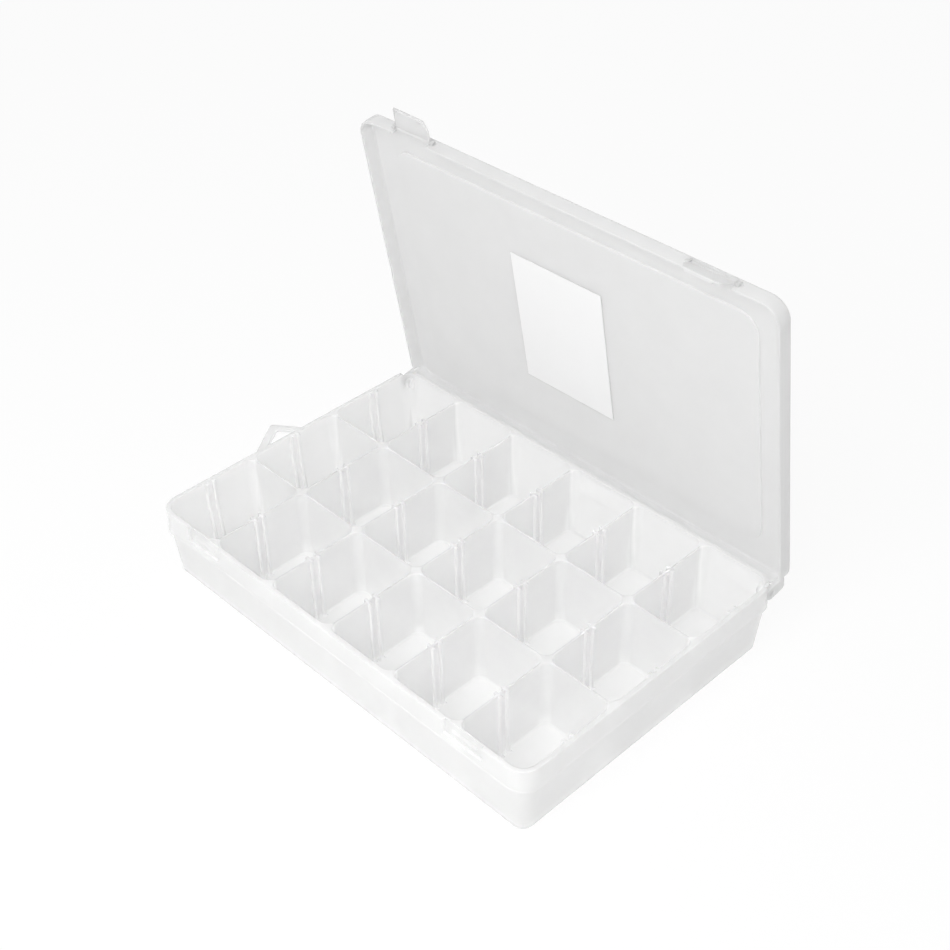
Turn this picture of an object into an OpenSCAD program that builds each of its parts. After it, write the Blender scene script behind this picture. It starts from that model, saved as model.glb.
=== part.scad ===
// Embroidery thread box: a shallow compartment tray with a hinged lid and two snap latches.
// The tray rests on Z = 0 with its front toward -Y. All sizes are in millimetres.

/* [Tray] */
// Outside width of the box at the rim
box_w = 270; // [262:1:290]
// Outside depth of the box at the rim
box_d = 182; // [176:1:200]
// Height of the tray from the table to its rim
tray_h = 43.5; // [41:0.5:52]
// Outside corner radius seen from above
corner_r = 11; // [10.5:0.25:12]
// Thickness of the tray floor
floor_t = 1.5; // [1.2:0.1:2.5]
// Thickness of the drafted part of the outer walls
wall_t = 1.6; // [1.4:0.1:1.8]
// How far the foot of the outer walls stands in from the rim
foot_inset = 4.5; // [4:0.1:4.8]
// How far the outer walls stand in just under the rim band
neck_inset = 1.4; // [1.2:0.1:1.6]
// Height of the thicker band below the rim
band_h = 14; // [13:0.5:15]
// Rounding of the edge under the tray
foot_r = 2; // [1:0.25:2.5]

/* [Compartments] */
// Distance between the two long walls
row_pitch = 58.3; // [54:0.1:62]
// Thickness of every compartment wall
divider_t = 1.2; // [1:0.1:1.6]
// Radius of the hollow corners where walls meet
fillet_r = 5; // [4:0.25:5.5]
// How far the compartment walls stay below the rim
divider_drop = 0.6; // [0.4:0.1:1.5]
// Distance between the two ribs of a slot, centre to centre
slot_pitch = 5; // [4.4:0.1:6]
// Width of one slot rib
rib_w = 1.7; // [1.4:0.1:2]
// How far a slot rib stands off its wall
rib_proud = 2; // [1.5:0.1:2.4]

/* [Lid] */
// Depth of the lid from its rim to its top
lid_h = 9; // [8.5:0.25:11]
// Thickness of the lid's rim wall
lid_wall_t = 1.4; // [1.2:0.1:1.5]
// Thickness of the lid panel
panel_t = 1.3; // [1.1:0.1:1.4]
// Rounding of the lid's top edge
lid_edge_r = 2; // [1.5:0.25:2.5]
// Border between the lid's edge and its sunk middle
panel_border = 18.5; // [16:0.5:24]
// Corner radius of the sunk middle
panel_corner_r = 10; // [6:0.5:14]
// How far the middle of the lid is sunk
panel_sink = 1; // [0.6:0.1:1.2]
// Angle the lid stands open, counted from closed
lid_open = 80; // [0:1:110]

/* [Hinge] */
// Distance from the back of the box to the hinge axis
hinge_in = 4; // [3.8:0.1:4.4]
// Distance from the tray rim down to the hinge axis
hinge_drop = 6; // [5.8:0.1:6.5]
// Radius of the hinge stud
stud_r = 1.6; // [1.4:0.05:1.8]
// Radius of the lid's hinge ear
ear_r = 3.8; // [3.6:0.1:4]

/* [Latches] */
// Distance of each latch's middle from the end of the box
latch_in = 39; // [37:1:75]
// Width of a latch flap
flap_w = 24.4; // [20:0.2:28]
// Length of a latch flap from its pin
flap_l = 12; // [11.6:0.1:12.4]
// Thickness of a latch flap
flap_t = 1.2; // [1:0.1:1.2]
// Radius of a latch pin
pin_r = 0.8; // [0.7:0.05:0.9]
// Angle of the left latch, counted from latched
left_latch_open = 90; // [0:1:150]
// Angle of the right latch, counted from latched
right_latch_open = 30; // [0:1:150]

/* [Label] */
// Width of the plain label inside the lid
label_w = 61; // [30:1:90]
// Height of the plain label
label_d = 82.5; // [40:0.5:110]
// Sideways place of the label, from the middle of the lid
label_x = -8; // [-30:1:30]

/* [Hang loop] */
// How far the loop reaches out from the left side
loop_out = 15.5; // [12:0.5:18]
// Thickness of the loop
loop_t = 2.2; // [1.8:0.1:3]

/* [Hidden] */
$fn = 96;
gap = 0.3;
running_gap = 0.08;
columns = 6;
column_pitch = box_w / columns;
past = 1;

// Outer wall of the tray: distances counted outward from the corner centre line
core_w = box_w - 2 * corner_r;
core_d = box_d - 2 * corner_r;
bead_t = 0.3;
bead_h = 1.5;
rim_edge = 0.4;
band_z = tray_h - band_h;
face_q = corner_r - bead_t;
neck_q = corner_r - neck_inset;
foot_q = corner_r - foot_inset;
draft = atan((neck_q - foot_q) / band_z);
foot_tangent = foot_r * tan(45 - draft / 2);
inner_q = neck_q - wall_t;
inner_floor_q = foot_q + floor_t * tan(draft) - wall_t;

// Inside faces of the outer walls, counted from the middle of the box
inner_x = core_w / 2 + inner_q;
inner_y = core_d / 2 + inner_q;
inner_floor_x = core_w / 2 + inner_floor_q;
inner_floor_y = core_d / 2 + inner_floor_q;
inner_draft = atan((inner_q - inner_floor_q) / (band_z - floor_t));
divider_top = tray_h - divider_drop;
row_wall_y = row_pitch / 2;
row_edge_y = row_wall_y + divider_t / 2;
outer_row_y = (row_edge_y + inner_y) / 2;
fillet_land = 0.1;

// Hinge at both back corners
hinge_y = box_d / 2 - hinge_in;
hinge_z = tray_h - hinge_drop;
boss_r = 3.6;
boss_in = 8;
ear_seat_in = 3.4;
boss_x = box_w / 2 - boss_in;
ear_seat_x = box_w / 2 - ear_seat_in;
ear_x = ear_seat_x + gap;
ear_t = 2.5;
ear_above_rim = 4;
ear_rise = hinge_drop + ear_above_rim;
notch_floor_gap = 0.9;
rim_reach = norm([hinge_in - bead_t, hinge_drop]);
relief_r = rim_reach + gap;

// Lid, drawn closed and then turned about the hinge
lid_z = tray_h + gap;
panel_z = lid_z + lid_h - panel_t;
label_t = 0.2;

// Latches
latch_x = box_w / 2 - latch_in;
pivot_out = 0.1;
pivot_rise = 4.2;
pivot_y = -(core_d / 2 + face_q + pivot_out);
pivot_z = lid_z + pivot_rise;
barrel_r = 1.3;
lug_r = 1.7;
lug_t = 2.5;
pin_l = 2;
lip_h = 1.4;
lip_out = 0.9;
lip_w = 16;
flap_cut_x = 3.2;
flap_cut_l = 5;
window_w = flap_w + 2 * gap;
window_h = pivot_z - lid_z + barrel_r + gap;
recess_y = pivot_y + flap_t / 2 + lip_out + gap;
recess_drop = 1.5;
catch_z = pivot_z - flap_l + lip_h + gap;
catch_h = 1.9;
catch_flat = 0.6;
catch_y = recess_y - lip_out;

// Hang loop, seen from above
loop_drop = 4;
loop_z = tray_h - loop_drop;
loop_front_y = -27;
loop_back_y = 11.3;
loop_tip_y = -2;
loop_tip_r = 2.4;
loop_strip = 2;
loop_tip_bar = 5.8;
loop_hole_r = 1;

// Points of an arc from angle a0 to a1
function arc(centre, r, a0, a1, steps) =
    [for (i = [0:steps]) centre + r * [cos(a0 + (a1 - a0) * i / steps), sin(a0 + (a1 - a0) * i / steps)]];

// Carries a wall section round a rounded rectangle whose corner centres lie at (w/2, d/2)
module swept(w, d) {
    for (quarter = [0:3]) {
        across = quarter % 2 == 0 ? w / 2 : d / 2;
        along = quarter % 2 == 0 ? d / 2 : w / 2;
        rotate([0, 0, 90 * quarter])
            translate([across, along, 0]) {
                rotate_extrude(angle = 90) children();
                rotate([90, 0, 0]) linear_extrude(2 * along) children();
            }
    }
}

// Flat plate with rounded corners
module rounded_plate(w, d, r, h) {
    swept(w - 2 * r, d - 2 * r) square([r, h]);
    translate([r - w / 2, r - d / 2, 0]) cube([w - 2 * r, d - 2 * r, h]);
}

// Extrudes a section drawn in Y and Z along X, centred on X = 0
module along_x(length) {
    translate([-length / 2, 0, 0]) rotate([90, 0, 90]) linear_extrude(length) children();
}

// Extrudes a section drawn in X and Z along Y, centred on Y = 0
module along_y(length) {
    translate([0, length / 2, 0]) rotate([90, 0, 0]) linear_extrude(length) children();
}

// Round bar along X
module bar_x(r, x0, x1) {
    translate([x0, 0, 0]) rotate([0, 90, 0]) cylinder(r = r, h = x1 - x0);
}

// Moves children drawn about the origin to the hinge axis
module at_hinge() {
    translate([0, hinge_y, hinge_z]) children();
}

// Turns children drawn on the closed lid to the angle the lid stands at
module on_lid() {
    at_hinge() rotate([-lid_open, 0, 0]) translate([0, -hinge_y, -hinge_z]) children();
}

// Section of the outer wall with its share of the floor
module tray_section() {
    wall_foot = [foot_q, 0] + foot_tangent * [sin(draft), cos(draft)];
    foot_centre = [foot_q - foot_tangent, foot_r];
    polygon(concat(
        [[0, floor_t], [0, 0]],
        arc(foot_centre, foot_r, -90, -draft, 4),
        [
            [neck_q, band_z],
            [corner_r, band_z],
            [corner_r, band_z + bead_h],
            [face_q, band_z + bead_h + bead_t],
            [face_q, tray_h - rim_edge],
            [face_q - rim_edge, tray_h],
            [inner_q, tray_h],
            [inner_q, band_z],
            [inner_floor_q, floor_t]
        ]
    ));
}

// Room on one side of the box for a lid ear to swing past the tray corner
module ear_notch() {
    translate([ear_seat_x, hinge_y - ear_r - gap, hinge_z - ear_r - notch_floor_gap])
        cube([box_w, box_d, tray_h]);
}

// Shallow seat in the rim band for a latch flap
module latch_recess() {
    seat_z = pivot_z - flap_l - recess_drop;
    translate([-window_w / 2, -box_d, seat_z])
        cube([window_w, recess_y + box_d, tray_h]);
}

// Floor, drafted outer walls, thick rim band with its bead, latch seats and hinge notches
module tray_shell() {
    color("whitesmoke")
    difference() {
        union() {
            swept(core_w, core_d) tray_section();
            translate([-core_w / 2, -core_d / 2, 0]) cube([core_w, core_d, floor_t]);
        }
        for (side = [0, 1])
            mirror([side, 0, 0]) {
                ear_notch();
                at_hinge() bar_x(boss_r, boss_x, box_w / 2 + past);
                translate([latch_x, 0, 0]) latch_recess();
            }
    }
}

// Plan of a wall end that spreads into two hollow corners, its broad side on Y = 0
module flare_plan() {
    reach = fillet_r + fillet_land;
    difference() {
        translate([-fillet_r - divider_t / 2, 0]) square([2 * fillet_r + divider_t, reach]);
        for (side = [-1, 1])
            translate([side * (fillet_r + divider_t / 2), reach]) circle(fillet_r);
    }
}

// The same wall end, standing on the leaning inside face of an outer wall at Y = 0, Z = band_z
module leaning_flare() {
    translate([0, 0, band_z]) {
        rotate([0, 0, 180]) linear_extrude(divider_top - band_z) flare_plan();
        rotate([-inner_draft, 0, 0])
            translate([0, 0, -band_z])
                rotate([0, 0, 180]) linear_extrude(band_z) flare_plan();
    }
}

// Pair of ribs on both faces of a cross wall, a slot for a small extra divider
module slot_ribs() {
    for (side = [-1, 1])
        translate([-divider_t / 2 - rib_proud, side * slot_pitch / 2 - rib_w / 2, floor_t])
            cube([divider_t + 2 * rib_proud, rib_w, divider_top - floor_t]);
}

// Cross wall of the middle row
module middle_wall(number) {
    color("white")
    translate([(number - columns / 2) * column_pitch, 0, 0]) {
        for (end = [0, 1])
            mirror([0, end, 0])
                translate([0, -row_wall_y + divider_t / 2, floor_t])
                    linear_extrude(divider_top - floor_t) flare_plan();
        slot_ribs();
        translate([-divider_t / 2, -row_wall_y + divider_t / 2 + fillet_r + fillet_land, floor_t])
            cube([divider_t, row_pitch - divider_t - 2 * fillet_r - 2 * fillet_land, divider_top - floor_t]);
    }
}

// Cross wall of an outer row; it follows the leaning outer wall at its far end
module outer_wall(number, back) {
    color("white")
    mirror([0, back ? 0 : 1, 0])
        translate([(number - columns / 2) * column_pitch, 0, 0])
            intersection() {
                along_x(4 * fillet_r) polygon([
                    [row_edge_y, floor_t],
                    [inner_floor_y, floor_t],
                    [inner_y, band_z],
                    [inner_y, divider_top],
                    [row_edge_y, divider_top]
                ]);
                union() {
                    translate([0, row_edge_y, 0]) linear_extrude(tray_h) flare_plan();
                    translate([0, inner_y, 0]) leaning_flare();
                    translate([-divider_t / 2, row_edge_y, 0])
                        cube([divider_t, box_d, tray_h]);
                    translate([0, outer_row_y, 0]) slot_ribs();
                }
            }
}

// Long wall between two rows, spreading into the leaning end walls
module long_wall(side) {
    color("white")
    translate([0, side * row_wall_y, 0])
        intersection() {
            along_y(4 * fillet_r) polygon([
                [-inner_floor_x, floor_t],
                [inner_floor_x, floor_t],
                [inner_x, band_z],
                [inner_x, divider_top],
                [-inner_x, divider_top],
                [-inner_x, band_z]
            ]);
            union() {
                translate([-box_w / 2, -divider_t / 2, 0]) cube([box_w, divider_t, tray_h]);
                for (end = [0, 1])
                    mirror([end, 0, 0])
                        translate([inner_x, 0, 0]) rotate([0, 0, -90]) leaning_flare();
            }
        }
}

// Three pairs of slot ribs on the inside of an end wall, one pair for each row
module end_ribs(side) {
    color("white")
    mirror([side > 0 ? 0 : 1, 0, 0])
        for (row = [-1, 0, 1], rib = [-1, 1])
            translate([0, row * outer_row_y + rib * slot_pitch / 2, 0])
                along_y(rib_w) polygon([
                    [inner_floor_x, floor_t],
                    [inner_x, band_z],
                    [inner_x, divider_top],
                    [inner_x - rib_proud, divider_top],
                    [inner_x - rib_proud, band_z],
                    [inner_floor_x - rib_proud, floor_t]
                ]);
}

// Three-cornered loop for a hanger on the left side, drawn as seen from above
module hang_loop() {
    root_x = -core_w / 2 - face_q;
    tip_x = root_x - loop_out;
    front_run = [tip_x, loop_tip_y] - [root_x, loop_front_y];
    back_run = [root_x, loop_back_y] - [tip_x, loop_tip_y];
    front_lean = atan2(front_run[1], -front_run[0]);
    back_lean = atan2(back_run[1], back_run[0]);
    tip_centre = [tip_x + loop_tip_r, loop_tip_y];
    hole_centre = [tip_x + loop_tip_bar + loop_hole_r, loop_tip_y];
    hole_x = root_x - loop_strip;
    hole_front = hole_centre + loop_hole_r * [-sin(front_lean), -cos(front_lean)];
    hole_back = hole_centre + loop_hole_r * [-sin(back_lean), cos(back_lean)];
    color("whitesmoke")
    translate([0, 0, loop_z])
        linear_extrude(loop_t)
            difference() {
                polygon(concat(
                    [[root_x, loop_back_y], [root_x, loop_front_y]],
                    arc(tip_centre, loop_tip_r, 270 - front_lean, 90 + back_lean, 8)
                ));
                polygon(concat(
                    [
                        [hole_x, hole_back[1] + (hole_x - hole_back[0]) * tan(back_lean)],
                        [hole_x, hole_front[1] - (hole_x - hole_front[0]) * tan(front_lean)]
                    ],
                    arc(hole_centre, loop_hole_r, 270 - front_lean, 90 + back_lean, 6)
                ));
            }
}

// Round boss let into a back corner, with the stud that the lid ear turns on
module hinge_post(side) {
    color("whitesmoke")
    mirror([side > 0 ? 0 : 1, 0, 0])
        at_hinge() {
            bar_x(boss_r, boss_x, ear_seat_x);
            bar_x(stud_r, ear_seat_x, ear_x + ear_t - gap);
        }
}

// Ridge in a latch seat that the flap's lip snaps under
module latch_catch(side) {
    color("whitesmoke")
    translate([side * latch_x, 0, 0])
        along_x(lip_w) polygon([
            [recess_y, catch_z],
            [catch_y, catch_z],
            [catch_y, catch_z + catch_flat],
            [recess_y, catch_z + catch_h]
        ]);
}

// Section of the lid's rim wall with its share of the panel
module lid_section() {
    polygon(concat(
        [
            [0, lid_h - panel_t],
            [face_q - lid_wall_t, lid_h - panel_t],
            [face_q - lid_wall_t, 0],
            [face_q, 0]
        ],
        arc([face_q - lid_edge_r, lid_h - lid_edge_r], lid_edge_r, 0, 90, 5),
        [[0, lid_h]]
    ));
}

// Ear that reaches from the lid down over the tray corner to the hinge axis
module lid_ear() {
    at_hinge() {
        bar_x(ear_r, ear_x, ear_x + ear_t);
        translate([ear_x, -ear_r, 0]) cube([ear_t, 2 * ear_r, ear_rise]);
    }
}

// Lid with its sunk middle, hinge ears, latch windows and latch lugs
module lid() {
    sunk_w = box_w - 2 * panel_border;
    sunk_d = box_d - 2 * panel_border;
    lug_x = window_w / 2;
    color("gainsboro")
    on_lid()
    difference() {
        union() {
            difference() {
                translate([0, 0, lid_z]) {
                    swept(core_w, core_d) lid_section();
                    translate([-core_w / 2, -core_d / 2, lid_h - panel_t])
                        cube([core_w, core_d, panel_t]);
                    translate([0, 0, lid_h - panel_t - panel_sink])
                        rounded_plate(sunk_w + 2 * panel_t, sunk_d + 2 * panel_t,
                            panel_corner_r + panel_t, panel_t);
                }
                translate([0, 0, lid_z + lid_h - panel_sink])
                    rounded_plate(sunk_w, sunk_d, panel_corner_r, panel_sink + past);
                at_hinge() bar_x(relief_r, -box_w, box_w);
                for (side = [-1, 1])
                    translate([side * latch_x - window_w / 2, pivot_y - past, lid_z - past])
                        cube([window_w, lid_wall_t + 2 * past, window_h + past]);
            }
            for (side = [0, 1])
                mirror([side, 0, 0]) {
                    lid_ear();
                    for (end = [0, 1])
                        translate([latch_x, pivot_y, pivot_z])
                            mirror([end, 0, 0]) bar_x(lug_r, lug_x, lug_x + lug_t);
                }
        }
        for (side = [0, 1])
            mirror([side, 0, 0]) {
                at_hinge() bar_x(stud_r + running_gap, ear_x - past, ear_x + ear_t + past);
                translate([latch_x, pivot_y, pivot_z])
                    bar_x(pin_r + running_gap, -lug_x - lug_t - past, lug_x + lug_t + past);
            }
    }
}

// Plain paper label on the inside of the lid's sunk middle
module label() {
    color("white")
    on_lid()
        translate([label_x - label_w / 2, -label_d / 2, panel_z - panel_sink - label_t])
            cube([label_w, label_d, label_t]);
}

// Latch flap with its pin, drawn hanging down from its axis and then turned outward
module latch(side, angle) {
    color("gainsboro")
    on_lid()
        translate([side * latch_x, pivot_y, pivot_z])
            rotate([-angle, 0, 0])
                mirror([side > 0 ? 1 : 0, 0, 0]) {
                    bar_x(pin_r, -window_w / 2 - pin_l, window_w / 2 + pin_l);
                    bar_x(barrel_r, -flap_w / 2, flap_w / 2);
                    along_y(flap_t) polygon([
                        [-flap_w / 2, 0],
                        [-flap_w / 2, -flap_l],
                        [flap_w / 2 - flap_cut_x, -flap_l],
                        [flap_w / 2, -flap_l + flap_cut_l],
                        [flap_w / 2, 0]
                    ]);
                    translate([-lip_w / 2, 0, -flap_l]) cube([lip_w, flap_t / 2 + lip_out, lip_h]);
                }
}

tray_shell();
long_wall(-1);  // front_long_wall
long_wall(1);  // back_long_wall
outer_wall(1, false);  // front_wall_1
outer_wall(2, false);  // front_wall_2
outer_wall(3, false);  // front_wall_3
outer_wall(4, false);  // front_wall_4
outer_wall(5, false);  // front_wall_5
middle_wall(1);  // middle_wall_1
middle_wall(2);  // middle_wall_2
middle_wall(3);  // middle_wall_3
middle_wall(4);  // middle_wall_4
middle_wall(5);  // middle_wall_5
outer_wall(1, true);  // back_wall_1
outer_wall(2, true);  // back_wall_2
outer_wall(3, true);  // back_wall_3
outer_wall(4, true);  // back_wall_4
outer_wall(5, true);  // back_wall_5
end_ribs(-1);  // left_slot_ribs
end_ribs(1);  // right_slot_ribs
hang_loop();
hinge_post(-1);  // left_hinge_post
hinge_post(1);  // right_hinge_post
latch_catch(-1);  // left_catch
latch_catch(1);  // right_catch
lid();
label();
latch(-1, left_latch_open);  // left_latch
latch(1, right_latch_open);  // right_latch
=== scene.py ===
import math

import bmesh
import bpy
from mathutils import Matrix, Vector


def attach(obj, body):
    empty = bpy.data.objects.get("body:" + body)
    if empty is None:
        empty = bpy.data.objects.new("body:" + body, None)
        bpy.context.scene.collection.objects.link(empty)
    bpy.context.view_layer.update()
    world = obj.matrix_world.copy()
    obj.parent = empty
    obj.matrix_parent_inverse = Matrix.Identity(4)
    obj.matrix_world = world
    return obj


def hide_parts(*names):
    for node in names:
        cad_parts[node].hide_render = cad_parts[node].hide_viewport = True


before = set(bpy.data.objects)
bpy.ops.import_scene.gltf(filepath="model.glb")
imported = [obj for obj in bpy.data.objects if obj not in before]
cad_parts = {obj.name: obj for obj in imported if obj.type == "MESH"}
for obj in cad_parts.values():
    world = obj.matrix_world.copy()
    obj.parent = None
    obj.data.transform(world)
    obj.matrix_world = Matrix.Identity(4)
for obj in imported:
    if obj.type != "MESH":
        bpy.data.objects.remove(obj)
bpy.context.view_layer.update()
print("frame loaded")

millimetre = 0.001


# Shader building

class Wire:
    # one output of a shader node, so that shader maths reads as plain expressions
    def __init__(self, tree, socket=None):
        self.tree = tree
        self.socket = socket

    def add(self, kind, settings=None, sockets=None, out=0):
        node = self.tree.nodes.new(kind)
        for key, value in (settings or {}).items():
            setattr(node, key, value)
        for key, value in (sockets or {}).items():
            if isinstance(value, Wire):
                self.tree.links.new(value.socket, node.inputs[key])
            else:
                node.inputs[key].default_value = value
        return Wire(self.tree, node.outputs[out])

    def maths(self, operation, first, second):
        return self.add("ShaderNodeMath", {"operation": operation}, {0: first, 1: second})

    def __add__(self, other):
        return self.maths("ADD", self, other)

    __radd__ = __add__

    def __sub__(self, other):
        return self.maths("SUBTRACT", self, other)

    def __rsub__(self, other):
        return self.maths("SUBTRACT", other, self)

    def __mul__(self, other):
        return self.maths("MULTIPLY", self, other)

    __rmul__ = __mul__

    def size(self):
        return self.maths("ABSOLUTE", self, 0)

    def largest(self, other):
        return self.maths("MAXIMUM", self, other)

    def split(self, axis):
        return self.add("ShaderNodeSeparateXYZ", None, {"Vector": self}, out=axis)

    def clamped(self):
        return self.add("ShaderNodeClamp", None, {"Value": self})

    def noise(self, size, detail=2.0, twist=0.0):
        sockets = {"Vector": self, "Scale": size, "Detail": detail, "Distortion": twist}
        return self.add("ShaderNodeTexNoise", None, sockets)

    def bump(self):
        # turns a height in metres into a normal
        return self.add("ShaderNodeBump", None, {"Height": self, "Strength": 1.0, "Distance": 1.0})

    def mix(self, low, high):
        # blends two colours by this value
        return self.add(
            "ShaderNodeMix", {"data_type": "RGBA"}, {"Factor": self, "A": low, "B": high}, out=2
        )


def newMaterial(name):
    material = bpy.data.materials.new(name)
    material.use_nodes = True
    material.node_tree.nodes.clear()
    return material, Wire(material.node_tree)


def finishMaterial(wire, shader):
    output = wire.tree.nodes.new("ShaderNodeOutputMaterial")
    wire.tree.links.new(shader.socket, output.inputs["Surface"])


def grey(shade):
    return (shade, shade, shade, 1)


noiseMiddle = 0.5  # the value that noise swings about


plastic = {
    "trayShade": 0.95,
    # lid and latch flaps are the same plastic as the tray; their darker grey is painted shade
    "lidGreyWithPaintedShade": 0.815,
    "cloudiness": 0.02,
    "cloudSize": 34.0,
    "cloudDetail": 4.0,
    "cloudShare": 0.6,
    "flowSize": 9.0,
    "flowDetail": 2.0,
    "flowTwist": 1.6,
    "roughness": 0.42,
    "roughnessByFlow": 0.12,
    "roughnessByGrain": 0.08,
    "refraction": 1.49,
    "grainSize": 1400,
    "grainDetail": 3.0,
    "grainHeight": 0.000012,
    "waveSize": 28,
    "waveHeight": 0.00025,
    "scatter": 1.0,
    "scatterDepth": 0.01,
    "wallOpacity": 0.55,
    "dividerOpacity": 0.38,
    "floorOpacity": 0.45,
    "lidOpacity": 0.7,
    "opacitySpread": 0.06,
    "insideX": 0.1275,  # the outer walls begin here, in metres
    "insideY": 0.0835,
    "floorTop": 0.0032,  # the floor and its hollow edges end here
    "blendSharpness": 600.0,
}


def trayOpacity(place):
    # the outer walls are thicker and milkier than the dividers, and so is the floor
    outsideX = place.split("X").size() - plastic["insideX"]
    outsideY = place.split("Y").size() - plastic["insideY"]
    outside = (outsideX.largest(outsideY) * plastic["blendSharpness"]).clamped()
    low = ((plastic["floorTop"] - place.split("Z")) * plastic["blendSharpness"]).clamped()
    thin = plastic["dividerOpacity"]
    walls = thin + outside * (plastic["wallOpacity"] - thin)
    return walls + low * (plastic["floorOpacity"] - walls)


def frostedPlastic(name, shade, opacityAt):
    material, wire = newMaterial(name)
    place = wire.add("ShaderNodeTexCoord", out="Object")
    clouds = place.noise(plastic["cloudSize"], plastic["cloudDetail"])
    flow = place.noise(plastic["flowSize"], plastic["flowDetail"], plastic["flowTwist"])
    grain = place.noise(plastic["grainSize"], plastic["grainDetail"])
    waves = place.noise(plastic["waveSize"])
    cloud = clouds * plastic["cloudShare"] + flow * (1 - plastic["cloudShare"])
    deep = shade - plastic["cloudiness"]
    pale = shade + plastic["cloudiness"]
    roughness = (
        plastic["roughness"]
        + (flow - noiseMiddle) * plastic["roughnessByFlow"]
        + (grain - noiseMiddle) * plastic["roughnessByGrain"]
    )
    height = grain * plastic["grainHeight"] + waves * plastic["waveHeight"]
    skin = wire.add("ShaderNodeBsdfPrincipled", None, {
        "Base Color": cloud.mix(grey(deep), grey(pale)),
        "Roughness": roughness,
        "Normal": height.bump(),
        "IOR": plastic["refraction"],
        "Subsurface Weight": plastic["scatter"],
        "Subsurface Scale": plastic["scatterDepth"],
        "Subsurface Radius": (1.0, 1.0, 1.0),
        "Alpha": opacityAt(place) + (cloud - noiseMiddle) * plastic["opacitySpread"],
    })
    finishMaterial(wire, skin)
    return material


paper = {
    "shade": 0.84,
    "darker": 0.02,
    "lighter": 0.01,
    "fibreSize": 900,
    "fibreDetail": 6.0,
    "fibreTwist": 0.8,
    "fibreShare": 0.5,
    "fibreHeight": 0.00002,
    "patchSize": 60.0,
    "patchDetail": 3.0,
    "roughness": 0.55,
    "roughnessByFibre": 0.1,
    "refraction": 1.45,
}


def labelPaper(name):
    material, wire = newMaterial(name)
    place = wire.add("ShaderNodeTexCoord", out="Object")
    fibres = place.noise(paper["fibreSize"], paper["fibreDetail"], paper["fibreTwist"])
    patches = place.noise(paper["patchSize"], paper["patchDetail"])
    mottle = fibres * paper["fibreShare"] + patches * (1 - paper["fibreShare"])
    sheet = wire.add("ShaderNodeBsdfPrincipled", None, {
        "Base Color": mottle.mix(
            grey(paper["shade"] - paper["darker"]), grey(paper["shade"] + paper["lighter"])
        ),
        "Roughness": paper["roughness"] + (fibres - noiseMiddle) * paper["roughnessByFibre"],
        "Normal": (fibres * paper["fibreHeight"]).bump(),
        "IOR": paper["refraction"],
    })
    finishMaterial(wire, sheet)
    return material


trayPlastic = frostedPlastic("trayPlastic", plastic["trayShade"], trayOpacity)
# darker copy of the tray plastic for the lid and latch flaps: painted shade
lidPlasticWithPaintedShade = frostedPlastic("lidPlasticWithPaintedShade", plastic["lidGreyWithPaintedShade"], lambda place: plastic["lidOpacity"])
print("materials ready")


# Mesh building, all in millimetres in the frame of the CAD part

def arcPoints(a, b, radius, start, end, steps, squash=1.0):
    # points of an arc about (a, b), from one angle in degrees to another
    turns = [math.radians(start + (end - start) * i / steps) for i in range(steps + 1)]
    return [(a + radius * math.cos(t), b + radius * squash * math.sin(t)) for t in turns]


def roundedRing(halfX, halfY, radius, z, steps=10):
    # counterclockwise points of a rounded rectangle
    points = []
    for quarter, (signX, signY) in enumerate(((1, -1), (1, 1), (-1, 1), (-1, -1))):
        centreX = signX * (halfX - radius)
        centreY = signY * (halfY - radius)
        start = 90 * (quarter - 1)
        arc = arcPoints(centreX, centreY, radius, start, start + 90, steps)
        points += [(x, y, z) for x, y in arc]
    return points


def loft(mesh, rings):
    # skins a list of rings with equal counts of points, and returns their vertices
    made = [[mesh.verts.new(point) for point in ring] for ring in rings]
    for lower, upper in zip(made, made[1:]):
        count = len(lower)
        for i in range(count):
            j = (i + 1) % count
            mesh.faces.new((lower[i], lower[j], upper[j], upper[i]))
    return made


def ringEdges(mesh, ring):
    return [mesh.edges.get((ring[i], ring[(i + 1) % len(ring)])) for i in range(len(ring))]


def objectFrom(name, mesh):
    bmesh.ops.recalc_face_normals(mesh, faces=mesh.faces)
    data = bpy.data.meshes.new(name)
    mesh.to_mesh(data)
    mesh.free()
    made = bpy.data.objects.new(name, data)
    bpy.context.scene.collection.objects.link(made)
    return made


def boxPiece(lowCorner, highCorner):
    mesh = bmesh.new()
    bmesh.ops.create_cube(mesh, size=1)
    low = Vector(lowCorner)
    high = Vector(highCorner)
    for vertex in mesh.verts:
        vertex.co = (low + high) / 2 + Vector(a * b for a, b in zip(vertex.co, high - low))
    return objectFrom("box", mesh)


def barPiece(radius, oneEnd, otherEnd, y, z, steps=48, edge=0.0):
    # round bar along X, with slightly rounded ends where it has an edge
    mesh = bmesh.new()
    x0, x1 = sorted((oneEnd, otherEnd))
    endRadius = radius - edge
    profile = [(x0, endRadius), (x0 + edge, radius), (x1 - edge, radius), (x1, endRadius)]
    if edge == 0:
        profile = [(x0, radius), (x1, radius)]
    turns = [2 * math.pi * i / steps for i in range(steps)]
    made = loft(mesh, [
        [(x, y + r * math.cos(t), z + r * math.sin(t)) for t in turns] for x, r in profile
    ])
    mesh.faces.new(made[0])
    mesh.faces.new(made[-1])
    return objectFrom("bar", mesh)


def prismPiece(points, place, thickness):
    # outline of 2-D points, set out in space by place(a, b, side) with side 0 or thickness
    mesh = bmesh.new()
    made = loft(mesh, [[place(a, b, side) for a, b in points] for side in (0, thickness)])
    mesh.faces.new(made[0])
    mesh.faces.new(made[-1])
    return objectFrom("prism", mesh)


def combine(target, others, operation):
    # boolean of the target with each of the others, which are used up
    for other in others:
        modifier = target.modifiers.new("combine", "BOOLEAN")
        modifier.operation = operation
        modifier.solver = "EXACT"
        modifier.object = other
        applyModifiers(target)
        data = other.data
        bpy.data.objects.remove(other)
        bpy.data.meshes.remove(data)


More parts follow.
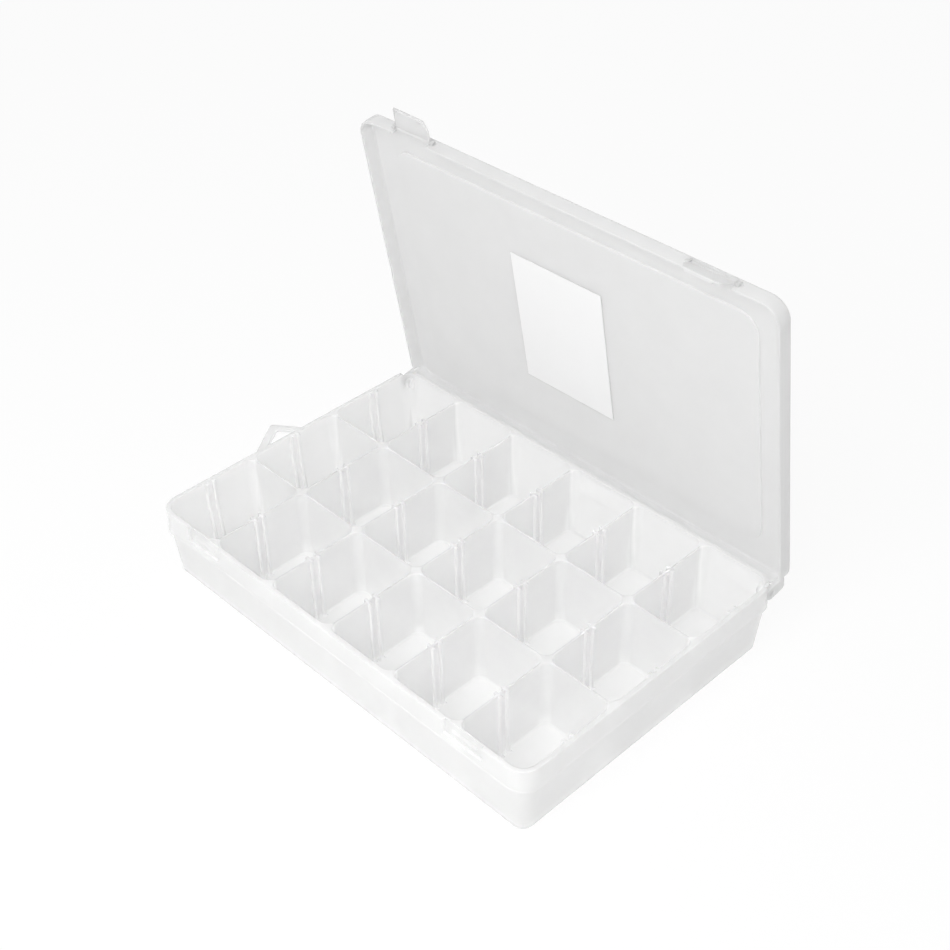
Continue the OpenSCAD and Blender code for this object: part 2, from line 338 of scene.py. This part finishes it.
def applyModifiers(target):
    graph = bpy.context.evaluated_depsgraph_get()
    fresh = bpy.data.meshes.new_from_object(target.evaluated_get(graph))
    target.modifiers.clear()
    old = target.data
    target.data = fresh
    bpy.data.meshes.remove(old)


def rounded(target, width, segments=2, angle=35):
    modifier = target.modifiers.new("edges", "BEVEL")
    modifier.width = width
    modifier.segments = segments
    modifier.limit_method = "ANGLE"
    modifier.angle_limit = math.radians(angle)
    applyModifiers(target)
    return target


def finishPiece(target, name, material, body, nodes, moved=None, sharpAngle=32):
    # turns, scales and shades a piece and ties it to its CAD body
    matrix = Matrix.Scale(millimetre, 4) @ (moved or Matrix.Identity(4))
    target.data.transform(matrix)
    target.name = name
    target.data.name = name
    target.data.materials.clear()
    target.data.materials.append(material)
    for polygon in target.data.polygons:
        polygon.use_smooth = True
        polygon.material_index = 0
    target.data.set_sharp_from_angle(angle=math.radians(sharpAngle))
    normals = target.modifiers.new("faceWeighted", "WEIGHTED_NORMAL")
    normals.keep_sharp = True
    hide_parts(*nodes)
    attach(target, body)
    print("piece", name, len(target.data.vertices), "vertices")


# Tray moulding

tray = {
    "width": 270.0,
    "depth": 182.0,
    "height": 43.5,
    "cornerRadius": 11.0,
    "floor": 1.5,
    "wall": 1.6,
    "footInset": 4.5,
    "neckInset": 1.4,
    "band": 14.0,
    "footRadius": 2.0,
    "footSteps": 5,
    "neckRun": 0.5,
    "neckLean": 0.05,
    "neckHollow": 0.15,
    "bead": 0.3,
    "beadHeight": 1.5,
    "beadEdge": 0.25,
    "beadEdgeCut": 0.07,
    "beadTopEdge": 0.1,
    "beadShoulderOut": 0.6,
    "beadShoulderUp": 0.5,
    "beadFade": 1.6,
    "rimEdge": 0.4,
    "rimSteps": 3,
}
compartments = {
    "columns": 6,
    "rowPitch": 58.3,
    "wall": 1.2,
    "cornerRadius": 5.0,
    "cornerSteps": 7,
    "drop": 0.6,  # the tops of the dividers lie this much below the rim
    "dropStart": 0.6,
    "dropEnd": 4.5,
    "topEdge": 0.5,
    "topSteps": 3,
    "floorFillet": 1.2,
    "filletSteps": 4,
    "slotPitch": 5.0,
    "ribWidth": 1.7,
    "ribProud": 2.0,
    "ribEdge": 0.35,
    "kneeBlend": 1.5,
    "kneeRings": (1, 0.5, 0, -0.5, -1),
}
coreX = tray["width"] / 2 - tray["cornerRadius"]
coreY = tray["depth"] / 2 - tray["cornerRadius"]
bandZ = tray["height"] - tray["band"]
faceReach = tray["cornerRadius"] - tray["bead"]
neckReach = tray["cornerRadius"] - tray["neckInset"]
footReach = tray["cornerRadius"] - tray["footInset"]
wallDraft = math.atan((neckReach - footReach) / bandZ)
innerReach = neckReach - tray["wall"]
innerFloorReach = footReach + tray["floor"] * math.tan(wallDraft) - tray["wall"]


def insideReach(z):
    # how far the inside face of the outer walls stands out from the corner centres
    lean = (innerReach - innerFloorReach) / (bandZ - tray["floor"])
    blend = compartments["kneeBlend"]
    below = bandZ - z
    if below <= -blend:
        return innerReach
    if below >= blend:
        return innerReach - lean * below
    return innerReach - lean * (below + blend) ** 2 / (4 * blend)


def trayOuterRings():
    # rounded foot, leaning wall, small bead at the foot of the band, upright band and rim
    foot = tray["footRadius"]
    tangent = foot * math.tan(math.pi / 4 - wallDraft / 2)  # from the corner to the foot's arc
    lean = math.degrees(wallDraft)
    profile = arcPoints(footReach - tangent, foot, foot, -90, -lean, tray["footSteps"])
    outer = tray["cornerRadius"]
    bead = tray["bead"]
    beadTop = bandZ + tray["beadHeight"]
    profile += [
        (neckReach - tray["neckLean"], bandZ - tray["neckRun"]),
        (neckReach, bandZ - tray["neckHollow"]),
        (neckReach + tray["neckHollow"], bandZ),
        (outer - tray["beadEdge"], bandZ),
        (outer - tray["beadEdgeCut"], bandZ + tray["beadEdgeCut"]),
        (outer, bandZ + tray["beadEdge"]),
        (outer, beadTop - tray["beadTopEdge"]),
        (faceReach + bead * tray["beadShoulderOut"], beadTop + bead * tray["beadShoulderUp"]),
        (faceReach, beadTop + bead * tray["beadFade"]),
    ]
    edge = tray["rimEdge"]
    profile += arcPoints(faceReach - edge, tray["height"] - edge, edge, 0, 90, tray["rimSteps"])
    return [roundedRing(coreX + reach, coreY + reach, reach, z) for reach, z in profile]


def compartmentRing(column, row, z, grow):
    # outline of one compartment at a height, grown outward by a little at its edges
    wall = compartments["wall"] / 2
    pitch = tray["width"] / compartments["columns"]
    reach = insideReach(z)
    rowWall = compartments["rowPitch"] / 2
    left = column == 0
    right = column == compartments["columns"] - 1
    front = row == -1
    back = row == 1
    cellStart = (column - compartments["columns"] / 2) * pitch
    x0 = (-coreX - reach if left else cellStart + wall) - grow
    x1 = (coreX + reach if right else cellStart + pitch - wall) + grow
    y0 = {-1: -coreY - reach, 0: -rowWall + wall, 1: rowWall + wall}[row] - grow
    y1 = {-1: -rowWall - wall, 0: rowWall - wall, 1: coreY + reach}[row] + grow

    # each side wall has a pair of ribs with the slot between them
    middle = row * (rowWall + wall + coreY + innerReach) / 2
    centres = [middle + share * compartments["slotPitch"] for share in (-0.5, 0.5)]
    half = compartments["ribWidth"] / 2 - grow
    proud = compartments["ribProud"]
    edge = min(compartments["ribEdge"], half / 2)
    ribSection = (
        (0, -half), (proud - edge, -half), (proud, -half + edge),
        (proud, half - edge), (proud - edge, half), (0, half),
    )

    def corner(x, y, signX, signY, isTrayCorner, start):
        radius = (reach if isTrayCorner else compartments["cornerRadius"]) + grow
        steps = compartments["cornerSteps"]
        arc = arcPoints(x - signX * radius, y - signY * radius, radius, start, start + 90, steps)
        return [(a, b, z) for a, b in arc]

    def ribs(x, inward, order, along):
        return [(x + inward * dx, y + along * dy, z) for y in order for dx, dy in ribSection]

    points = corner(x1, y0, 1, -1, right and front, -90)
    points += ribs(x1, -1, centres, 1)
    points += corner(x1, y1, 1, 1, right and back, 0)
    points += corner(x0, y1, -1, 1, left and back, 90)
    points += ribs(x0, 1, centres[::-1], -1)
    points += corner(x0, y0, -1, -1, left and front, 180)
    return points


def compartmentRings(column, row):
    # from the rounded top edge down past the knee of the wall to the hollow at the floor
    edge = compartments["topEdge"]
    fillet = compartments["floorFillet"]
    blend = compartments["kneeBlend"]
    floor = tray["floor"]
    levels = arcPoints(tray["height"] - edge, edge, edge, 0, -90, compartments["topSteps"])
    levels += [(bandZ + blend * share, 0.0) for share in compartments["kneeRings"]]
    levels += arcPoints(floor + fillet, -fillet, fillet, 90, 180, compartments["filletSteps"])
    return [compartmentRing(column, row, z, grow) for z, grow in levels]


def rimGap(x, y):
    # distance in from the inside face of the rim
    outX = abs(x) - coreX
    outY = abs(y) - coreY
    if outX > 0 and outY > 0:
        return innerReach - math.hypot(outX, outY)
    return innerReach - max(outX, outY)


def smoothStep(value, low, high):
    share = min(1.0, max(0.0, (value - low) / (high - low)))
    return share * share * (3 - 2 * share)


hinge = {
    "fromBack": 4.0,
    "belowRim": 6.0,
    "bossRadius": 3.6,
    "bossDepth": 8.0,
    "bossEdge": 0.3,
    "earSeat": 3.4,
    "studRadius": 1.6,
    "studRoot": 0.5,
    "studEdge": 0.25,
    "earRadius": 3.8,
    "earRise": 4.0,
    "earShoulder": 1.5,
    "earEdge": 0.35,
    "earSteps": 16,
    "earThickness": 2.5,
    "notchDrop": 0.9,
    "gap": 0.3,
    "running": 0.08,  # clearance round studs and pins
}
hingeY = tray["depth"] / 2 - hinge["fromBack"]
hingeZ = tray["height"] - hinge["belowRim"]
earSeatX = tray["width"] / 2 - hinge["earSeat"]
earX = earSeatX + hinge["gap"]
earEndX = earX + hinge["earThickness"]
studEndX = earEndX - hinge["gap"]

latch = {
    "fromMiddle": 96.0,
    "width": 24.4,
    "length": 12.0,
    "thickness": 1.2,
    "flapEdge": 0.3,
    "pinRadius": 0.8,
    "pinInLug": 2.0,
    "pinEdge": 0.15,
    "pinSteps": 24,
    "barrelRadius": 1.3,
    "barrelEdge": 0.2,
    "lugRadius": 1.7,
    "lugThickness": 2.5,
    "lugEdge": 0.3,
    "lipHeight": 1.4,
    "lipOut": 0.9,
    "lipWidth": 16.0,
    "lipEdge": 0.2,
    "lipSet": 0.02,  # keeps the foot of the lip off the end face of the flap
    "cutAcross": 3.2,  # the corner cut off the flap
    "cutAlong": 5.0,
    "seatDrop": 1.5,
    "catchRoot": 0.2,
    "catchFlat": 0.6,
    "catchHeight": 2.1,
    "catchEdge": 0.15,
    "outOfFace": 0.1,
    "aboveRim": 4.2,
    "leftOpen": 90.0,
    "rightOpen": 30.0,
}
lidZ = tray["height"] + hinge["gap"]
pivotY = -(coreY + faceReach + latch["outOfFace"])
pivotZ = lidZ + latch["aboveRim"]
windowWidth = latch["width"] + 2 * hinge["gap"]
recessY = pivotY + latch["thickness"] / 2 + latch["lipOut"] + hinge["gap"]
past = 1.0  # how far a cutter runs past what it cuts


def latchEnds(side):
    # left and right end of the window that a latch sits in
    centre = side * latch["fromMiddle"]
    return centre - windowWidth / 2, centre + windowWidth / 2


def buildTray():
    # outer skin and eighteen pockets joined by the rim, then cut for the latches and ears
    mesh = bmesh.new()
    outer = loft(mesh, trayOuterRings())
    mesh.faces.new(outer[0])
    edges = ringEdges(mesh, outer[-1])
    pockets = []
    for row in (-1, 0, 1):
        for column in range(compartments["columns"]):
            pocket = loft(mesh, compartmentRings(column, row))
            mesh.faces.new(pocket[-1])
            edges += ringEdges(mesh, pocket[0])
            pockets.append(pocket)
    bmesh.ops.triangle_fill(mesh, edges=edges, use_beauty=True)
    for pocket in pockets:
        for ring in pocket[:compartments["topSteps"] + 1]:
            for vertex in ring:
                gap = rimGap(vertex.co.x, vertex.co.y)
                share = smoothStep(gap, compartments["dropStart"], compartments["dropEnd"])
                vertex.co.z -= compartments["drop"] * share
    made = objectFrom("trayMoulding", mesh)
    cutters = []
    top = tray["height"] + past
    seatZ = pivotZ - latch["length"] - latch["seatDrop"]
    notchY = hingeY - hinge["earRadius"] - hinge["gap"]
    notchZ = hingeZ - hinge["earRadius"] - hinge["notchDrop"]
    for side in (-1, 1):
        left, right = latchEnds(side)
        cutters.append(boxPiece((left, -tray["depth"], seatZ), (right, recessY, top)))
        near, far = sorted((side * earSeatX, side * tray["width"]))
        cutters.append(boxPiece((near, notchY, notchZ), (far, tray["depth"], top)))
    combine(made, cutters, "DIFFERENCE")
    return made


def buildTrayFittings():
    # boss, stud and catch on both sides, and the hang loop on the left
    bars = (
        (hinge["bossRadius"], tray["width"] / 2 - hinge["bossDepth"], earSeatX, hinge["bossEdge"]),
        (hinge["studRadius"], earSeatX - hinge["studRoot"], studEndX, hinge["studEdge"]),
    )
    rootY = recessY + latch["catchRoot"]
    catchY = recessY - latch["lipOut"]
    catchZ = pivotZ - latch["length"] + latch["lipHeight"] + hinge["gap"]
    catch = [
        (rootY, catchZ),
        (catchY, catchZ),
        (catchY, catchZ + latch["catchFlat"]),
        (rootY, catchZ + latch["catchHeight"]),
    ]
    added = []
    for side in (-1, 1):
        for radius, root, end, edge in bars:
            added.append(barPiece(radius, side * root, side * end, hingeY, hingeZ, edge=edge))
        start = side * latch["fromMiddle"] - latch["lipWidth"] / 2
        ledge = prismPiece(catch, lambda a, b, s: (start + s, a, b), latch["lipWidth"])
        added.append(rounded(ledge, latch["catchEdge"]))
    added.append(buildHangLoop())
    return added


hangLoop = {
    "reach": 15.5,
    "thickness": 2.2,
    "belowRim": 4.0,
    "frontY": -27.0,
    "backY": 11.3,
    "tipY": -2.0,
    "tipRadius": 2.4,
    "tipSteps": 10,
    "root": 0.6,
    "strip": 2.0,
    "bar": 4.2,
    "holeInset": 1.6,
    "holeRadius": 1.0,
    "holeSteps": 8,
    "edge": 0.45,
}


def buildHangLoop():
    # flat triangle with a round tip, and a hole of the same form
    rootX = -coreX - faceReach
    tipX = rootX - hangLoop["reach"]
    frontLean = math.atan2(hangLoop["tipY"] - hangLoop["frontY"], hangLoop["reach"])
    backLean = math.atan2(hangLoop["backY"] - hangLoop["tipY"], hangLoop["reach"])
    holeTipX = tipX + hangLoop["bar"] + hangLoop["holeRadius"] + hangLoop["holeInset"]

    def tipArc(x, radius, steps):
        start = 270 - math.degrees(frontLean)
        end = 90 + math.degrees(backLean)
        return arcPoints(x, hangLoop["tipY"], radius, start, end, steps)

    insideX = rootX + hangLoop["root"]
    outer = [(insideX, hangLoop["backY"]), (insideX, hangLoop["frontY"])]
    outer += tipArc(tipX + hangLoop["tipRadius"], hangLoop["tipRadius"], hangLoop["tipSteps"])
    stripX = rootX - hangLoop["strip"]
    bend = tipArc(holeTipX, hangLoop["holeRadius"], hangLoop["holeSteps"])
    inner = [
        (stripX, bend[-1][1] + (stripX - bend[-1][0]) * math.tan(backLean)),
        (stripX, bend[0][1] - (stripX - bend[0][0]) * math.tan(frontLean)),
        *bend,
    ]
    low = tray["height"] - hangLoop["belowRim"]
    thick = hangLoop["thickness"]
    plate = prismPiece(outer, lambda a, b, s: (a, b, low + s), thick)
    cutter = prismPiece(inner, lambda a, b, s: (a, b, low - past + s), thick + 2 * past)
    combine(plate, [cutter], "DIFFERENCE")
    return rounded(plate, hangLoop["edge"], segments=3, angle=50)


trayNodes = [
    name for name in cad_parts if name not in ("lid", "label", "left_latch", "right_latch")
]
trayPiece = buildTray()
combine(trayPiece, buildTrayFittings(), "UNION")
finishPiece(trayPiece, "trayMoulding", trayPlastic, "tray", trayNodes)


# Lid moulding, built closed and then turned open about the hinge

lid = {
    "depth": 9.0,
    "wall": 1.4,
    "panel": 1.3,
    "edgeRadius": 2.0,
    "edgeSteps": 5,
    "border": 18.5,
    "sunkRadius": 10.0,
    "sink": 1.0,
    "stepFoot": 0.35,
    "stepFootCut": 0.1,
    "stepTop": 0.3,
    "stepTopOut": 0.1,
    "stepTopDown": 0.08,
    "open": 80.0,
    "rimEdge": 0.35,
    "rimSteps": 6,
    "insideFillet": 1.2,
    "filletSteps": 4,
    "cornerSteps": 12,
    "reliefSteps": 96,
}
hingeAxis = Vector((0, hingeY, hingeZ))
rimCorner = math.hypot(hinge["fromBack"] - tray["bead"], hinge["belowRim"])
reliefRadius = rimCorner + hinge["gap"]  # lets the lid swing past the back rim of the tray


def turnedAbout(centre, degrees):
    turn = Matrix.Rotation(math.radians(degrees), 4, "X")
    return Matrix.Translation(centre) @ turn @ Matrix.Translation(-centre)


lidTurn = turnedAbout(hingeAxis, -lid["open"])


def sunkStep(out, border, footRise):
    # rings of the step from the sunk middle up to the border, from the middle outward
    foot = border - lid["sink"]
    cut = lid["stepFootCut"]
    profile = (
        (out - lid["stepFoot"], foot),
        (out - cut, foot + cut),
        (out, foot + footRise),
        (out, border - lid["stepTop"]),
        (out + lid["stepTopOut"], border - lid["stepTopDown"]),
        (out + lid["stepTop"], border),
    )
    sunkX = tray["width"] / 2 - lid["border"]
    sunkY = tray["depth"] / 2 - lid["border"]
    radius = lid["sunkRadius"]
    steps = lid["cornerSteps"]
    return [roundedRing(sunkX + d, sunkY + d, radius + d, z, steps) for d, z in profile]


def lidRings():
    # out along the underside, round the rim of the wall, and back in over the top
    top = lidZ + lid["depth"]
    underside = top - lid["panel"]
    wall = faceReach - lid["wall"]
    fillet = lid["insideFillet"]
    half = lid["wall"] / 2
    squash = lid["rimEdge"] / half
    edge = lid["edgeRadius"]
    rim = arcPoints(wall - fillet, underside - fillet, fillet, 90, 0, lid["filletSteps"])
    rim += arcPoints(wall + half, lidZ + lid["rimEdge"], half, 180, 360, lid["rimSteps"], squash)
    rim += arcPoints(faceReach - edge, top - edge, edge, 0, 90, lid["edgeSteps"])
    steps = lid["cornerSteps"]
    return [
        *sunkStep(lid["panel"], underside, lid["stepFoot"]),
        *[roundedRing(coreX + reach, coreY + reach, reach, z, steps) for reach, z in rim],
        *reversed(sunkStep(0.0, top, lid["stepTop"])),
    ]


def buildLid():
    # the skin, cut for the hinge and latches, with ears and lugs added and bored
    mesh = bmesh.new()
    skin = loft(mesh, lidRings())
    mesh.faces.new(skin[0])
    mesh.faces.new(skin[-1])
    made = objectFrom("lidMoulding", mesh)
    width = tray["width"]
    cutters = [barPiece(reliefRadius, -width, width, hingeY, hingeZ, lid["reliefSteps"])]
    windowBack = pivotY + lid["wall"] + past
    windowTop = pivotZ + latch["barrelRadius"] + hinge["gap"]
    for side in (-1, 1):
        left, right = latchEnds(side)
        low = (left, pivotY - past, lidZ - past)
        cutters.append(boxPiece(low, (right, windowBack, windowTop)))
    combine(made, cutters, "DIFFERENCE")
    combine(made, [part for side in (-1, 1) for part in lidFittings(side)], "UNION")
    bores = []
    studBore = hinge["studRadius"] + hinge["running"]
    pinBore = latch["pinRadius"] + hinge["running"]
    reach = latch["lugThickness"] + past
    steps = latch["pinSteps"]
    for side in (-1, 1):
        ear = (side * (earX - past), side * (earEndX + past))
        bores.append(barPiece(studBore, *ear, hingeY, hingeZ))
        left, right = latchEnds(side)
        bores.append(barPiece(pinBore, left - reach, right + reach, pivotY, pivotZ, steps))
    combine(made, bores, "DIFFERENCE")
    return made


def lidFittings(side):
    # hinge ear with its rounded foot, and the two lugs of one latch
    radius = hinge["earRadius"]
    rise = hinge["belowRim"] + hinge["earRise"]
    shoulder = hinge["earShoulder"]
    outline = arcPoints(hingeY, hingeZ, radius, 180, 360, hinge["earSteps"])
    outline += [
        (hingeY + radius, hingeZ + rise - shoulder),
        (hingeY + radius - shoulder, hingeZ + rise),
        (hingeY - radius, hingeZ + rise),
    ]
    start = min(side * earX, side * earEndX)
    ear = prismPiece(outline, lambda a, b, s: (start + s, a, b), hinge["earThickness"])
    parts = [rounded(ear, hinge["earEdge"], segments=3, angle=50)]
    for out, x in zip((-1, 1), latchEnds(side)):
        end = x + out * latch["lugThickness"]
        parts.append(barPiece(latch["lugRadius"], x, end, pivotY, pivotZ, edge=latch["lugEdge"]))
    return parts


lidPiece = buildLid()
finishPiece(lidPiece, "lidMoulding", lidPlasticWithPaintedShade, "lid", ["lid"], lidTurn)


# Latch flaps

def buildLatch(side, openAngle):
    # flap hanging from its pin, with one corner cut off and a lip that snaps under the catch
    width = latch["width"] / 2
    length = latch["length"]
    thick = latch["thickness"]
    sign = -side
    outline = [
        (-width, 0),
        (-width, -length),
        (width - latch["cutAcross"], -length),
        (width, -length + latch["cutAlong"]),
        (width, 0),
    ]
    flap = prismPiece(
        [(sign * a, b) for a, b in outline], lambda a, b, s: (a, s - thick / 2, b), thick
    )
    rounded(flap, latch["flapEdge"], segments=3, angle=30)
    lipEnd = latch["lipWidth"] / 2
    lip = boxPiece(
        (-lipEnd, -thick / 4, -length + latch["lipSet"]),
        (lipEnd, thick / 2 + latch["lipOut"], -length + latch["lipHeight"]),
    )
    rounded(lip, latch["lipEdge"])
    barrel = barPiece(latch["barrelRadius"], -width, width, 0, 0, edge=latch["barrelEdge"])
    reach = windowWidth / 2 + latch["pinInLug"]
    steps = latch["pinSteps"]
    pin = barPiece(latch["pinRadius"], -reach, reach, 0, 0, steps, latch["pinEdge"])
    combine(flap, [barrel, lip, pin], "UNION")
    place = Matrix.Translation((side * latch["fromMiddle"], pivotY, pivotZ))
    return flap, lidTurn @ place @ Matrix.Rotation(math.radians(-openAngle), 4, "X")


for side, title, angle in ((-1, "left", latch["leftOpen"]), (1, "right", latch["rightOpen"])):
    flap, moved = buildLatch(side, angle)
    node = title + "_latch"
    finishPiece(flap, title + "LatchFlap", lidPlasticWithPaintedShade, node, [node], moved)


# Label: the CAD sheet keeps its shape and gets the paper

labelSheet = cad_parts["label"]
labelSheet.data.materials.clear()
labelSheet.data.materials.append(labelPaper("labelPaper"))
print("pieces ready")


# Floor, light and camera

studio = {
    "floorShade": 0.93,
    "floorWhite": 0.9,
    "floorHalf": 6.0,
    "floorDrop": 0.0001,
    "worldStrength": 0.58,
    "keyPlace": (0.22, -0.62, 0.72),
    "keySize": 0.55,
    "keyPower": 6.0,
    "aim": (0.0, 0.03, 0.07),
}


def showsBackground(wire):
    # rays that see the white ground: straight from the camera, mirrored or through glass
    rays = [
        wire.add("ShaderNodeLightPath", out=name)
        for name in ("Is Camera Ray", "Is Glossy Ray", "Is Transmission Ray")
    ]
    return (rays[0] + rays[1] + rays[2]).clamped()


def buildFloor():
    mesh = bmesh.new()
    half = studio["floorHalf"]
    z = -studio["floorDrop"]
    corners = [(-half, -half), (half, -half), (half, half), (-half, half)]
    mesh.faces.new([mesh.verts.new((x, y, z)) for x, y in corners])
    floor = objectFrom("studioFloor", mesh)
    material, wire = newMaterial("studioFloor")
    diffuse = wire.add("ShaderNodeBsdfDiffuse", None, {"Color": grey(studio["floorShade"])})
    white = wire.add("ShaderNodeEmission", None, {"Color": grey(1.0), "Strength": 1.0})
    paint = wire.add(
        "ShaderNodeMixShader", None,
        {0: showsBackground(wire) * studio["floorWhite"], 1: diffuse, 2: white},
    )
    finishMaterial(wire, paint)
    floor.data.materials.append(material)


def buildWorld():
    world = bpy.data.worlds.new("studioWorld")
    bpy.context.scene.world = world
    world.use_nodes = True
    world.node_tree.nodes.clear()
    wire = Wire(world.node_tree)
    strength = studio["worldStrength"]
    lit = wire.add("ShaderNodeBackground", None, {"Color": grey(1.0), "Strength": strength})
    white = wire.add("ShaderNodeBackground", None, {"Color": grey(1.0), "Strength": 1.0})
    sky = wire.add("ShaderNodeMixShader", None, {0: showsBackground(wire), 1: lit, 2: white})
    output = world.node_tree.nodes.new("ShaderNodeOutputWorld")
    world.node_tree.links.new(sky.socket, output.inputs["Surface"])


def buildKeyLight():
    data = bpy.data.lights.new("keyLight", "AREA")
    data.shape = "SQUARE"
    data.size = studio["keySize"]
    data.energy = studio["keyPower"]
    light = bpy.data.objects.new("keyLight", data)
    bpy.context.scene.collection.objects.link(light)
    light.location = studio["keyPlace"]
    aim = Vector(studio["aim"]) - light.location
    light.rotation_euler = aim.to_track_quat("-Z", "Y").to_euler()


view = {
    "azimuth": 45.985,
    "elevation": 38.053,
    "roll": -0.922,
    "place": (0.45403, -0.42573, 0.57417),
    "focalPixels": 1594.63,
    "imageSide": 950,
    "sensor": 36.0,
}


def buildCamera():
    azimuth = math.radians(view["azimuth"])
    elevation = math.radians(view["elevation"])
    roll = math.radians(view["roll"])
    toCamera = Vector((
        math.cos(elevation) * math.sin(azimuth),
        -math.cos(elevation) * math.cos(azimuth),
        math.sin(elevation),
    ))
    right = (-toCamera).cross(Vector((0, 0, 1))).normalized()
    up = right.cross(-toCamera)
    rolledRight = math.cos(roll) * right + math.sin(roll) * up
    rolledUp = math.cos(roll) * up - math.sin(roll) * right
    data = bpy.data.cameras.new("studioCamera")
    data.sensor_width = view["sensor"]
    data.lens = view["sensor"] * view["focalPixels"] / view["imageSide"]
    camera = bpy.data.objects.new("studioCamera", data)
    turn = Matrix((rolledRight, rolledUp, toCamera)).transposed().to_4x4()
    camera.matrix_world = Matrix.Translation(view["place"]) @ turn
    bpy.context.scene.collection.objects.link(camera)
    bpy.context.scene.camera = camera


# how often light may scatter in the milky walls, and pass through them
lightPaths = {"diffuseBounces": 10, "seeThroughBounces": 24}
bpy.context.scene.cycles.diffuse_bounces = lightPaths["diffuseBounces"]
bpy.context.scene.cycles.transparent_max_bounces = lightPaths["seeThroughBounces"]

buildFloor()
buildWorld()
buildKeyLight()
buildCamera()
bpy.context.scene.view_settings.view_transform = "Standard"
print("studio ready")
